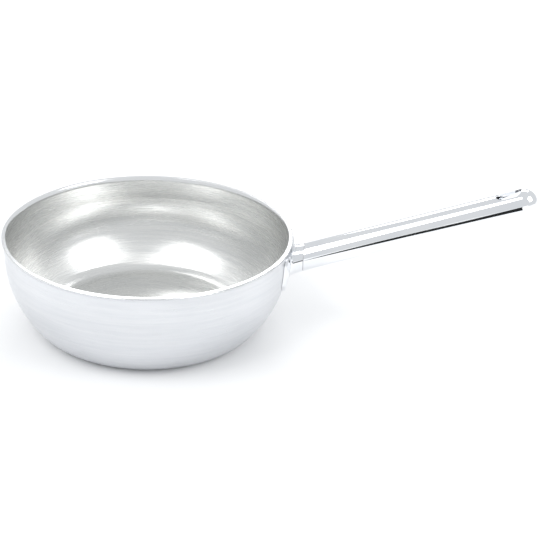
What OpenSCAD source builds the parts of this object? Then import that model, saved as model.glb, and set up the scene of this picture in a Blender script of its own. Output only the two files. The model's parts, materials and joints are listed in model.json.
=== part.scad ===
// Saucier pan: a five ply bowl with curved sides, a closed pouring rim and a welded tube handle.
// Millimetres, +Z up. The origin is on the pan's axis, on the underside of the flat base.
// The handle rises towards +X, and the plane y = 0 cuts it in half.

/* [Bowl] */
// Outside diameter of the wall at the rim, before the lip
rim_d = 224.6; // [190:0.2:280]
// Height of the rim above the table
pan_h = 77; // [64:0.5:95]
// How far the edge of the flat base lies inside the wall at the rim
wall_run = 37.9; // [31:0.1:46]
// Outside radius of the bend between base and wall
corner_r = 20; // [16:0.5:26]
// Outward lean of the upper wall, in degrees
wall_lean = 3.4; // [1:0.1:6]
// Length of the straight band of wall below the rim
band_l = 18.5; // [12:0.5:24]

/* [Pouring lip] */
// Length of the wall's top that turns outward
lip_l = 3.6; // [2.5:0.1:5]
// Outside radius of the turned lip
lip_r = 4.2; // [4:0.1:8]
// Rounding of the lip's outer edge
lip_edge_r = 0.7; // [0.3:0.1:1]
// Depth of solid steel that closes the plies at the rim
rim_close = 1; // [0.6:0.1:1.5]

/* [Plies] */
// Outside skin of magnetic steel
shell_t = 0.5; // [0.4:0.05:0.8]
// Each soft aluminium bonding ply
bond_t = 0.25; // [0.2:0.05:0.4]
// Aluminium alloy core
core_t = 1.5; // [1:0.1:3]
// Stainless cooking surface
lining_t = 0.5; // [0.4:0.05:0.8]
// Clearance left between two bonded plies
ply_gap = 0.02; // [0.01:0.01:0.05]

/* [Saddle plate] */
// Width of the plate around the wall
plate_w = 50; // [40:1:64]
// Thickness of the plate
plate_t = 2; // [1.5:0.1:3]
// Top edge of the plate below the rim
plate_top = 4.2; // [4:0.1:6]
// Lowest point of the plate below the rim
plate_bottom = 39; // [34:0.5:46]
// Radius of the plate's rounded lower edge
plate_foot_r = 31; // [28:0.5:45]
// Radius of the plate's upper corners
plate_corner_r = 6; // [3:0.5:8]
// Gap between plate and wall that the welds bridge
plate_seat = 0.15; // [0.1:0.01:0.3]
// Diameter of one weld nugget
nugget_d = 5; // [3:0.5:7]

/* [Handle] */
// Outside diameter of the tube
tube_d = 20.5; // [18:0.1:25]
// Wall of the tube
tube_wall = 1.5; // [1.2:0.1:2]
// Rise of the handle above level, in degrees
handle_tilt = 19.6; // [12:0.1:24]
// Drop of the handle's axis below the rim, where it meets the wall
handle_drop = 16.2; // [14:0.1:22]
// Length along the axis, from the wall to the domed tip
handle_l = 191; // [150:1:240]

/* [Neck] */
// Level distance from the wall to the seam between neck and tube
neck_l = 10.6; // [8:0.2:16]
// Growth of the neck's radius from the seam to the plate
neck_flare = 0.9; // [0:0.1:1.5]
// Radius of the bead in the corner between neck and plate
bead_r = 2; // [1:0.1:3]
// Width of the welded seam between neck and tube
seam_w = 0.5; // [0.3:0.1:1]
// Depth of the seam below the polished surface
seam_sink = 0.2; // [0.1:0.05:0.4]
// Length of the spigot inside the tube
spigot_l = 14; // [10:1:25]
// Wall of the spigot
spigot_wall = 1.6; // [1.2:0.1:2.5]
// Radial clearance of what slides into the tube
fit_gap = 0.06; // [0.02:0.01:0.15]

/* [Hanging end] */
// Length of the slot
slot_l = 19.7; // [16:0.1:30]
// Width of the slot
slot_w = 11.8; // [9:0.1:13]
// Distance from the tip to the slot
slot_to_tip = 9.3; // [8:0.1:16]
// Radius of the scoop that opens the underside
scoop_r = 37; // [30:0.5:45]
// Drop of the scoop's crest below the axis
scoop_drop = 1.2; // [0.5:0.1:3]
// Distance from the tip to the scoop's crest
scoop_to_tip = 4.5; // [2:0.1:8]
// Width of the cross notch behind the tip
notch_w = 4.7; // [3.5:0.1:6]
// Height of the notch above the axis
notch_rise = 1.2; // [0:0.1:3]
// Distance from the tip to the middle of the notch
notch_to_tip = 9.5; // [8:0.1:12]
// Rounding of the notch's inner corners
notch_r = 0.8; // [0.3:0.1:1.2]
// Thickness of the bulkhead
bulkhead_t = 1.5; // [1:0.1:3]
// Distance from the bulkhead to the scoop
bulkhead_back = 3; // [1:0.5:8]

/* [Hidden] */
round_fn = 240;
tube_fn = 96;
far = 400;

// Depths of the plies below the outside surface
shell_in = shell_t;
outer_bond_in = shell_in + bond_t;
core_in = outer_bond_in + core_t;
inner_bond_in = core_in + bond_t;
wall_t = inner_bond_in + lining_t;

// Outline of the bowl: flat base, corner bend, wall bend, straight band, lip
rim_r = rim_d / 2;
base_r = rim_r - wall_run;
lean_up = [sin(wall_lean), cos(wall_lean)];
lean_out = [cos(wall_lean), -sin(wall_lean)];
rim_p = [rim_r, pan_h];
band_p = rim_p - band_l * lean_up;
corner_c = [base_r, corner_r];
corner_to_band = band_p - corner_c;
wall_r = (corner_to_band * corner_to_band - pow(corner_r, 2)) / (2 * (corner_to_band * lean_out - corner_r));
wall_c = band_p - wall_r * lean_out;
wall_from = atan2(corner_c.x - wall_c.x, wall_c.y - corner_c.y);
wall_to = 90 - wall_lean;

// Lip: its bend starts on the straight band and turns outward about lip_c
lip_c = rim_p - lip_l * lean_up + lip_r * lean_out;
lip_edge_y = pan_h - lip_edge_r;
lip_edge_c = [lip_c.x - sqrt(pow(lip_r + lip_edge_r, 2) - pow(lip_edge_y - lip_c.y, 2)), lip_edge_y];

// Handle axis: seat_x is the wall's outside radius where the axis meets it
tube_r = tube_d / 2;
bore_r = tube_r - tube_wall;
seat_z = pan_h - handle_drop;
seat_x = rim_r - handle_drop * tan(wall_lean);
seam_x = seat_x + neck_l;
slot_s = handle_l - slot_to_tip - slot_l / 2;
scoop_s = handle_l - scoop_to_tip;
scoop_n = -scoop_drop - scoop_r;
scoop_start = scoop_s - sqrt(pow(scoop_r, 2) - pow(-tube_r - scoop_n, 2));
bulkhead_s = min(scoop_start, slot_s - slot_l / 2) - bulkhead_back - bulkhead_t;

// Outside radius of the wall at height z, at depth d inside it (a negative d lies outside)
function wall_radius(z, d) =
    z > band_p.y - d * lean_out.y
        ? rim_r - (pan_h - z) * tan(wall_lean) - d / cos(wall_lean)
        : wall_c.x + sqrt(pow(wall_r - d, 2) - pow(wall_c.y - z, 2));

// A point at s along the handle's axis, and at radius r and angle a around it from its upper side
function on_handle(s, r, a) =
    [seat_x + s * cos(handle_tilt) - r * cos(a) * sin(handle_tilt),
     r * sin(a),
     seat_z + s * sin(handle_tilt) + r * cos(a) * cos(handle_tilt)];

// How far along the axis a line at radius r and angle a meets the plane at x
function s_at_x(x, r, a) = (x - seat_x + r * cos(a) * sin(handle_tilt)) / cos(handle_tilt);

// How far along the axis that line meets the plate's face, closing in on it step by step
function s_at_plate(r, a, s = 2, steps = 12) =
    steps == 0 ? s
    : let(p = on_handle(s, r, a),
          miss = wall_radius(p.z, -plate_seat - plate_t) - norm([p.x, p.y]))
      s_at_plate(r, a, s + miss / cos(handle_tilt), steps - 1);

module wedge(c, from, to) {
    reach = 2 * far;
    polygon([c, c + reach * [sin(from), -cos(from)], c + reach * [sin(to), -cos(to)]]);
}

// Half section of all that lies deeper than d inside the bowl's outside surface
module deeper(d) {
    overlap = 8;
    translate([0, d])
        square([base_r, pan_h - d]);
    intersection() {
        translate(corner_c)
            circle(r = corner_r - d, $fn = round_fn);
        wedge(corner_c, -overlap, wall_from + overlap);
    }
    intersection() {
        translate(wall_c)
            circle(r = wall_r - d, $fn = 2 * round_fn);
        wedge(wall_c, wall_from, wall_to + overlap);
    }
    polygon([[0, pan_h], [0, wall_c.y], wall_c, band_p - d * lean_out,
             [wall_radius(pan_h, d), pan_h]]);
    difference() {
        polygon([lip_c, [lip_c.x, pan_h], [lip_c.x - (pan_h - lip_c.y) / tan(wall_lean), pan_h]]);
        translate(lip_c)
            circle(r = lip_r + d, $fn = round_fn);
    }
}

// Half section of one ply, between two depths
module ply_section(from, to) {
    difference() {
        deeper(from);
        translate([-1, 0])
            deeper(to);
        deeper(to);
    }
}

// One of the plies that stop under the closed rim
module ply(from, to) {
    rotate_extrude($fn = round_fn)
        intersection() {
            ply_section(from, to);
            square([far, pan_h - rim_close - ply_gap]);
        }
}

module outer_shell() {
    color([0.72, 0.73, 0.75])
        ply(0, shell_in);
}

module outer_bond_ply() {
    color([0.80, 0.81, 0.83])
        ply(shell_in + ply_gap, outer_bond_in);
}

module aluminium_core() {
    color([0.76, 0.77, 0.79])
        ply(outer_bond_in + ply_gap, core_in);
}

module inner_bond_ply() {
    color([0.80, 0.81, 0.83])
        ply(core_in + ply_gap, inner_bond_in);
}

// Material beyond the rounded outer edge of the lip
module lip_edge_waste() {
    difference() {
        polygon([lip_edge_c, [lip_edge_c.x, pan_h + 1], [lip_edge_c.x + far, pan_h + 1],
                 lip_edge_c + far * (lip_c - lip_edge_c) / norm(lip_c - lip_edge_c)]);
        translate(lip_edge_c)
            circle(r = lip_edge_r, $fn = 48);
    }
}

// Cooking surface, carried over the top of the other plies to close the rim
module inner_lining() {
    color([0.78, 0.78, 0.77])
        rotate_extrude($fn = round_fn)
            difference() {
                union() {
                    ply_section(inner_bond_in + ply_gap, wall_t);
                    intersection() {
                        ply_section(0, wall_t);
                        translate([0, pan_h - rim_close])
                            square([far, rim_close]);
                    }
                }
                lip_edge_waste();
            }
}

// Shield outline of the saddle plate, seen along the handle
module plate_outline() {
    foot_z = pan_h - plate_bottom + plate_foot_r;
    top_z = pan_h - plate_top;
    intersection() {
        union() {
            translate([-plate_w / 2, 0])
                square([plate_w, top_z - plate_corner_r]);
            translate([-plate_w / 2 + plate_corner_r, 0])
                square([plate_w - 2 * plate_corner_r, top_z]);
            for (side = [-1, 1])
                translate([side * (plate_w / 2 - plate_corner_r), top_z - plate_corner_r])
                    circle(r = plate_corner_r, $fn = 64);
        }
        union() {
            translate([0, foot_z])
                circle(r = plate_foot_r, $fn = 128);
            translate([-plate_w / 2, foot_z])
                square([plate_w, far]);
        }
    }
}

// A slice of the space outside the bowl, between two distances, within an outline on the wall
module on_wall(from, to) {
    intersection() {
        rotate_extrude($fn = round_fn)
            intersection() {
                difference() {
                    deeper(-to);
                    deeper(-from);
                }
                translate([base_r, 0])
                    square([far, pan_h - plate_top]);
            }
        rotate([90, 0, 90])
            linear_extrude(height = far)
                children();
    }
}

module saddle_plate() {
    color([0.82, 0.83, 0.85])
        on_wall(plate_seat, plate_seat + plate_t)
            plate_outline();
}

// Two rows of weld nuggets, clear of the neck
module spot_welds() {
    row_y = [-0.36, -0.12, 0.12, 0.36] * plate_w;
    color([0.60, 0.60, 0.62])
        on_wall(ply_gap, plate_seat - ply_gap)
            for (y = row_y, z = [plate_top + nugget_d, plate_bottom - 3 * nugget_d])
                translate([y, pan_h - z])
                    circle(d = nugget_d, $fn = 32);
}

// Radius of the neck's surface at a share of its length, from the seam to the plate
function neck_r(share) = tube_r + neck_flare * share;

// Rings of points around the handle, closed into a solid; each ring has tube_fn points
module ring_solid(rings, tube = false) {
    n = tube_fn;
    last = len(rings) - 1;
    points = [for (ring = rings) each ring];
    sides = [for (k = [0:tube ? last : last - 1], i = [0:n - 1])
             let(a = k * n, b = ((k + 1) % (last + 1)) * n, j = (i + 1) % n)
             each [[a + i, a + j, b + j], [a + i, b + j, b + i]]];
    caps = tube ? [] : [[for (i = [n - 1:-1:0]) i], [for (i = [0:n - 1]) last * n + i]];
    polyhedron(points = points, faces = concat(sides, caps), convexity = 4);
}

function ring_angles() = [for (i = [0:tube_fn - 1]) i * 360 / tube_fn];

// Neck: parallel to the wall at both ends, so its sections are sheared along the handle
module neck_body() {
    seam_ring = [for (a = ring_angles()) on_handle(s_at_x(seam_x, neck_r(0), a), neck_r(0), a)];
    plate_ring = [for (a = ring_angles())
                  on_handle(s_at_plate(neck_r(1), a) + ply_gap, neck_r(1), a)];
    ring_solid([plate_ring, seam_ring]);
}

module along_handle(s) {
    translate([seat_x, 0, seat_z])
        rotate([0, 90 - handle_tilt, 0])
            translate([0, 0, s])
                children();
}

module neck() {
    spigot_r = bore_r - fit_gap;
    seam_s = neck_l / cos(handle_tilt);
    color([0.82, 0.83, 0.85])
        difference() {
            union() {
                neck_body();
                intersection() {
                    along_handle(0)
                        cylinder(r = spigot_r, h = seam_s + spigot_l, $fn = tube_fn);
                    translate([seam_x - 1, -far / 2, 0])
                        cube([far, far, far]);
                }
            }
            along_handle(-far / 2)
                cylinder(r = spigot_r - spigot_wall, h = far, $fn = tube_fn);
        }
}

// Concave bead in the corner between neck and plate, all round the neck
module neck_fillet_weld() {
    arc_steps = 6;
    root_r = neck_r(1) + ply_gap;
    foot = [for (a = ring_angles()) on_handle(s_at_plate(root_r, a) + ply_gap, root_r, a)];
    arc = [for (k = [0:arc_steps])
           let(turn = 90 * k / arc_steps,
               r = root_r + bead_r * (1 - sin(turn)),
               lift = bead_r * (1 - cos(turn)) + ply_gap)
           [for (a = ring_angles()) on_handle(s_at_plate(r, a) + lift, r, a)]];
    color([0.82, 0.83, 0.85])
        ring_solid(concat([foot], arc), tube = true);
}

module seam_weld() {
    color([0.55, 0.55, 0.57])
        intersection() {
            along_handle(0)
                difference() {
                    cylinder(r = tube_r - seam_sink, h = far, $fn = tube_fn);
                    translate([0, 0, -1])
                        cylinder(r = bore_r, h = far + 2, $fn = tube_fn);
                }
            translate([seam_x, -far / 2, 0])
                cube([seam_w, far, far]);
        }
}

// Half section of a closed tube with a domed end
module domed(r) {
    square([r, handle_l - tube_r]);
    translate([0, handle_l - tube_r])
        intersection() {
            circle(r = r, $fn = tube_fn);
            square([r, r]);
        }
}

// The hanging slot, cut down through the upper wall only
module slot_cut() {
    translate([0, 0, slot_s])
        rotate([0, -90, 0])
            linear_extrude(height = tube_d) {
                square([slot_l - slot_w, slot_w], center = true);
                for (end = [-1, 1])
                    translate([end * (slot_l - slot_w) / 2, 0])
                        circle(d = slot_w, $fn = 64);
            }
}

// The scoop and the cross notch, cut across the underside
module underside_cut() {
    rotate([90, 0, 0])
        translate([0, 0, -tube_d])
            linear_extrude(height = 2 * tube_d) {
                translate([-scoop_n, scoop_s])
                    circle(r = scoop_r, $fn = round_fn);
                translate([scoop_drop, scoop_s])
                    square([tube_d, tube_d]);
                translate([-notch_rise + notch_r, handle_l - notch_to_tip - notch_w / 2])
                    square([tube_r, notch_w]);
                translate([-notch_rise, handle_l - notch_to_tip - notch_w / 2 + notch_r])
                    square([tube_r, notch_w - 2 * notch_r]);
                for (side = [-1, 1])
                    translate([-notch_rise + notch_r,
                               handle_l - notch_to_tip + side * (notch_w / 2 - notch_r)])
                        circle(r = notch_r, $fn = 32);
            }
}

module handle_tube() {
    color([0.86, 0.87, 0.89])
        intersection() {
            along_handle(0)
                difference() {
                    rotate_extrude($fn = tube_fn)
                        domed(tube_r);
                    translate([0, 0, -1])
                        cylinder(r = bore_r, h = handle_l - tube_r + 1, $fn = tube_fn);
                    rotate_extrude($fn = tube_fn)
                        domed(bore_r);
                    slot_cut();
                    underside_cut();
                }
            translate([seam_x + seam_w, -far / 2, 0])
                cube([far, far, far]);
        }
}

module bulkhead() {
    color([0.62, 0.62, 0.64])
        along_handle(bulkhead_s)
            cylinder(r = bore_r - fit_gap, h = bulkhead_t, $fn = tube_fn);
}

outer_shell();
outer_bond_ply();
aluminium_core();
inner_bond_ply();
inner_lining();
spot_welds();
saddle_plate();
neck_fillet_weld();
neck();
seam_weld();
handle_tube();
bulkhead();
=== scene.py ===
"""Looks of the saucier pan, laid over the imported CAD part. Metres, in the part's own frame."""

import json

import bpy
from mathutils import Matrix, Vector

# Where a noise's values mostly lie, from tight to wide
TIGHT = (0.35, 0.65)
MIDDLE = (0.34, 0.66)
WIDE = (0.3, 0.7)

# Depths of the brushing and buffing marks
GRAIN_DEPTH = 0.00002
BUFF_DEPTH = 0.00001
WELD_DEPTH = 0.00005

# Keeps the grain defined on the pan's axis
AXIS_GUARD = 0.0001

RIM_HEIGHT = 0.077
POLISH_FROM = 0.0735
POLISH_FULL = 0.0752

# The camera, as fitted to the photograph: distance to the rim's centre, and direction from it
CAMERA_DISTANCE = 1.15
CAMERA_SIDE = (0.14184, -0.89552, 0.42183)

FLOOR_HALF = 3
FLOOR_DROP = 0.0002
LAMP_AIM = (0.05, 0, 0.05)


class Signal:
    """A value, vector or colour inside a material, combined with plain arithmetic."""

    def __init__(self, paint, socket):
        self.paint = paint
        self.socket = socket

    def _combine(self, operation, first, second):
        wide = any(isinstance(x, (tuple, Vector)) or isinstance(x, Signal) and x.socket.type != "VALUE"
                   for x in (first, second))
        if not wide:
            return self.paint.node("ShaderNodeMath", {"operation": operation}, {0: first, 1: second})
        pair = [(x,) * 3 if isinstance(x, (int, float)) else x for x in (first, second)]
        return self.paint.node("ShaderNodeVectorMath", {"operation": operation}, {0: pair[0], 1: pair[1]})

    def __add__(self, other):
        return self._combine("ADD", self, other)

    def __radd__(self, other):
        return self._combine("ADD", other, self)

    def __sub__(self, other):
        return self._combine("SUBTRACT", self, other)

    def __rsub__(self, other):
        return self._combine("SUBTRACT", other, self)

    def __mul__(self, other):
        return self._combine("MULTIPLY", self, other)

    def __rmul__(self, other):
        return self._combine("MULTIPLY", other, self)

    def __truediv__(self, other):
        return self._combine("DIVIDE", self, other)

    def __rtruediv__(self, other):
        return self._combine("DIVIDE", other, self)

    def root(self):
        return self.paint.node("ShaderNodeMath", {"operation": "SQRT"}, {0: self})

    def between(self, low, high, start=0.0, end=1.0):
        """The signal's span from low to high, laid onto start to end and held there."""
        return self.paint.node("ShaderNodeMapRange", {"clamp": True},
                               {"Value": self, "From Min": low, "From Max": high,
                                "To Min": start, "To Max": end})

    def blend(self, one, other):
        """Colour one where the signal is 0 and colour other where it is 1."""
        return self.paint.node("ShaderNodeMix", {"data_type": "RGBA"}, {0: self, 6: one, 7: other}, out=2)


class Paint:
    """A material made of nodes."""

    def __init__(self, name):
        self.material = bpy.data.materials.new(name)
        self.material.use_nodes = True
        self.tree = self.material.node_tree
        self.tree.nodes.clear()

    def node(self, kind, settings=None, inputs=None, out=0):
        """One node of any type: its settings first, then the values or links of its sockets."""
        made = self.tree.nodes.new(kind)
        for key, value in (settings or {}).items():
            setattr(made, key, value)
        for key, value in (inputs or {}).items():
            if isinstance(value, Signal):
                self.tree.links.new(value.socket, made.inputs[key])
            else:
                made.inputs[key].default_value = value
        return Signal(self, made.outputs[out])

    def place(self):
        """The point in the part's frame, and its x, y and z."""
        point = self.node("ShaderNodeTexCoord", out="Object")
        parts = self.node("ShaderNodeSeparateXYZ", inputs={0: point}).socket.node
        return (point, *(Signal(self, parts.outputs[axis]) for axis in "XYZ"))

    def noise(self, point, scale, detail=2.0):
        return self.node("ShaderNodeTexNoise", None,
                         {"Vector": point, "Scale": scale, "Detail": detail})

    def around(self, fine, sweep, detail=2.0):
        """Grain that runs around the pan: fine streaks per metre across it, sweep per radian along it."""
        x, y, z = self.place()[1:]
        radius = (x * x + y * y).root() + AXIS_GUARD
        point = self.node("ShaderNodeCombineXYZ",
                          inputs={0: x / radius * sweep, 1: y / radius * sweep, 2: z * fine})
        return self.node("ShaderNodeTexNoise", {"noise_dimensions": "4D"},
                         {"Vector": point, "W": radius * fine, "Scale": 1.0, "Detail": detail})

    def bump(self, height, strength, distance):
        return self.node("ShaderNodeBump", None,
                         {"Height": height, "Strength": strength, "Distance": distance})

    def metal(self, colour, roughness, normal, anisotropic=0.0):
        return self.surface({"Base Color": colour, "Roughness": roughness, "Metallic": 1.0,
                             "Anisotropic": anisotropic, "Normal": normal})

    def surface(self, inputs):
        """Ends the tree with the shader of these inputs, and returns the material."""
        shader = self.node("ShaderNodeBsdfPrincipled", None, inputs)
        end = self.tree.nodes.new("ShaderNodeOutputMaterial")
        self.tree.links.new(shader.socket, end.inputs["Surface"])
        return self.material


def satin_steel():
    """Outside of the bowl: a fine, even satin brushed around the pan."""
    paint = Paint("satin_steel")
    fine = paint.around(fine=3200.0, sweep=7.0)
    broad = paint.around(fine=420.0, sweep=2.5, detail=3.0)
    cloud = paint.noise(paint.place()[0], scale=22.0)
    tone = (0.7 * broad + 0.3 * cloud).between(*TIGHT)
    colour = tone.blend((0.70, 0.715, 0.74, 1), (0.76, 0.77, 0.79, 1))
    roughness = fine.between(*WIDE, start=0.27, end=0.36)
    marks = paint.bump(fine, strength=0.12, distance=GRAIN_DEPTH)
    return paint.metal(colour, roughness, marks, anisotropic=0.55)


def brushed_steel():
    """Cooking surface, brushed in circles, with the polished rim above it."""
    paint = Paint("brushed_steel")
    height = paint.place()[3]
    fine = paint.around(fine=2600.0, sweep=5.0)
    broad = paint.around(fine=380.0, sweep=1.6, detail=3.0)
    colour = broad.between(*MIDDLE).blend((0.72, 0.725, 0.72, 1), (0.80, 0.80, 0.785, 1))
    rim = height.between(POLISH_FROM, POLISH_FULL)
    colour = rim.blend(colour, (0.86, 0.865, 0.87, 1))
    roughness = fine.between(*WIDE, start=0.20, end=0.30) - rim * 0.10
    marks = paint.bump(fine, strength=0.15, distance=GRAIN_DEPTH)
    return paint.metal(colour, roughness, marks, anisotropic=0.75)


def polished_steel():
    """Handle, neck and plate: mirror polish with faint buffing marks."""
    paint = Paint("polished_steel")
    point = paint.place()[0]
    smear = paint.noise(point * (30.0, 260.0, 260.0), scale=1.0, detail=3.0)
    cloud = paint.noise(point, scale=40.0, detail=3.0)
    colour = cloud.between(*TIGHT).blend((0.85, 0.865, 0.89, 1), (0.89, 0.90, 0.915, 1))
    roughness = (0.5 * smear + 0.5 * cloud).between(*TIGHT, start=0.035, end=0.075)
    return paint.metal(colour, roughness, paint.bump(smear, strength=0.05, distance=BUFF_DEPTH))


def weld_steel():
    """Seams, nuggets and the bulkhead: dull steel with uneven tone."""
    paint = Paint("weld_steel")
    grain = paint.noise(paint.place()[0], scale=900.0, detail=4.0)
    cloud = paint.noise(paint.place()[0], scale=120.0)
    colour = cloud.between(*WIDE).blend((0.40, 0.40, 0.42, 1), (0.56, 0.56, 0.57, 1))
    roughness = grain.between(*WIDE, start=0.38, end=0.52)
    return paint.metal(colour, roughness, paint.bump(grain, strength=0.3, distance=WELD_DEPTH))


def aluminium(name, dark, light):
    """A rolled aluminium ply, as it comes from the mill."""
    paint = Paint(name)
    grain = paint.around(fine=1500.0, sweep=4.0)
    colour = grain.between(*TIGHT).blend(dark, light)
    roughness = grain.between(*WIDE, start=0.30, end=0.40)
    return paint.metal(colour, roughness, paint.bump(grain, strength=0.1, distance=GRAIN_DEPTH))


def paper(name, colour):
    """Paper of the studio: a matt colour with a slight unevenness."""
    paint = Paint(name)
    cloud = paint.noise(paint.place()[0], scale=6.0)
    shaded = tuple(0.985 * c for c in colour)
    tone = cloud.between(*WIDE).blend((*colour, 1), (*shaded, 1))
    return paint.surface({"Base Color": tone, "Roughness": 0.9, "Specular IOR Level": 0.1})


def card(name, centre, across, up, material, seen=True):
    """A flat rectangle of the studio, given by its centre and its two half sides."""
    centre, across, up = Vector(centre), Vector(across), Vector(up)
    corners = [centre - across - up, centre + across - up, centre + across + up, centre - across + up]
    mesh = bpy.data.meshes.new(name)
    mesh.from_pydata(corners, [], [(0, 1, 2, 3)])
    mesh.materials.append(material)
    made = bpy.data.objects.new(name, mesh)
    bpy.context.scene.collection.objects.link(made)
    made.visible_camera = seen
    made.visible_shadow = seen
    made.visible_diffuse = seen


def lamp(name, place, size, power):
    """A soft rectangular lamp that faces the pan."""
    light = bpy.data.lights.new(name, "AREA")
    light.shape = "RECTANGLE"
    light.size, light.size_y = size
    light.energy = power
    made = bpy.data.objects.new(name, light)
    made.location = place
    made.rotation_mode = "QUATERNION"
    made.rotation_quaternion = (Vector(LAMP_AIM) - Vector(place)).to_track_quat("-Z", "Y")
    bpy.context.scene.collection.objects.link(made)


def surroundings():
    """A world that the camera sees as white, and that lights the pan a little less."""
    world = bpy.data.worlds.new("studio")
    bpy.context.scene.world = world
    world.use_nodes = True
    tree = world.node_tree
    tree.nodes.clear()
    seen = tree.nodes.new("ShaderNodeBackground")
    seen.inputs["Color"].default_value = (1, 1, 1, 1)
    light = tree.nodes.new("ShaderNodeBackground")
    light.inputs["Color"].default_value = (0.96, 0.98, 1, 1)
    light.inputs["Strength"].default_value = 0.8
    path = tree.nodes.new("ShaderNodeLightPath")
    mix = tree.nodes.new("ShaderNodeMixShader")
    end = tree.nodes.new("ShaderNodeOutputWorld")
    tree.links.new(path.outputs["Is Camera Ray"], mix.inputs[0])
    tree.links.new(light.outputs[0], mix.inputs[1])
    tree.links.new(seen.outputs[0], mix.inputs[2])
    tree.links.new(mix.outputs[0], end.inputs["Surface"])


def studio():
    """Pale floor, soft lamps, and a dark card that only reflections show."""
    surroundings()
    card("floor", (0, 0, -FLOOR_DROP), (FLOOR_HALF, 0, 0), (0, FLOOR_HALF, 0),
         paper("paper", (0.93, 0.93, 0.93)))
    card("low_card", (0.30, -0.42, 0.02), (0.20, 0.05, 0), (0, 0.28, 0),
         paper("black_card", (0.012, 0.013, 0.013)), seen=False)
    lamp("key", place=(-0.9, -0.9, 1.6), size=(1.2, 1.2), power=16)
    lamp("fill", place=(1.3, -0.5, 1.1), size=(0.9, 0.9), power=7)
    lamp("back", place=(0.2, 1.4, 1.2), size=(1.4, 0.7), power=9)


def camera():
    """A long lens in front of the pan, high enough to see the floor of the bowl."""
    rim = Vector((0, 0, RIM_HEIGHT))
    towards = Vector(CAMERA_SIDE)
    data = bpy.data.cameras.new("camera")
    data.lens = 98.5
    data.sensor_width = 36
    data.shift_x = 0.2276
    data.shift_y = -0.0706
    data.clip_start = 0.05
    data.clip_end = 20
    made = bpy.data.objects.new("camera", data)
    made.location = rim + CAMERA_DISTANCE * towards
    made.rotation_mode = "QUATERNION"
    made.rotation_quaternion = (-towards).to_track_quat("-Z", "Y")
    bpy.context.scene.collection.objects.link(made)
    bpy.context.scene.camera = made


def dress(frame):
    """Gives every CAD piece the material that the record names for it."""
    finishes = {
        "satin_steel": satin_steel(),
        "brushed_steel": brushed_steel(),
        "polished_steel": polished_steel(),
        "weld_steel": weld_steel(),
        "core_aluminium": aluminium("core_aluminium", (0.72, 0.73, 0.75, 1), (0.78, 0.79, 0.81, 1)),
        "bond_aluminium": aluminium("bond_aluminium", (0.77, 0.78, 0.80, 1), (0.82, 0.83, 0.85, 1)),
    }
    for part in frame["record"]["subparts"]:
        piece = frame["nodes"][part["node"]]
        finish = finishes[part["material_slot"]]
        if not piece.material_slots:
            piece.data.materials.append(finish)
        for place in piece.material_slots:
            place.material = finish


with open("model.json") as file:
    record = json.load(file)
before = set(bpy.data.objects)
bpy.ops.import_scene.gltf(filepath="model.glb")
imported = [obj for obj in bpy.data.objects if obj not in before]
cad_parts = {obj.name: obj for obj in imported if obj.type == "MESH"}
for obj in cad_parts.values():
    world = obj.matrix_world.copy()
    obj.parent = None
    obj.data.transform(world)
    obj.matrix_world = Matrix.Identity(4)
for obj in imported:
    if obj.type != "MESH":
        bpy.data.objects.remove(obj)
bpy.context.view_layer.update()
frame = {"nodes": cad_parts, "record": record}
dress(frame)
studio()
camera()
bpy.context.scene.view_settings.view_transform = "Standard"
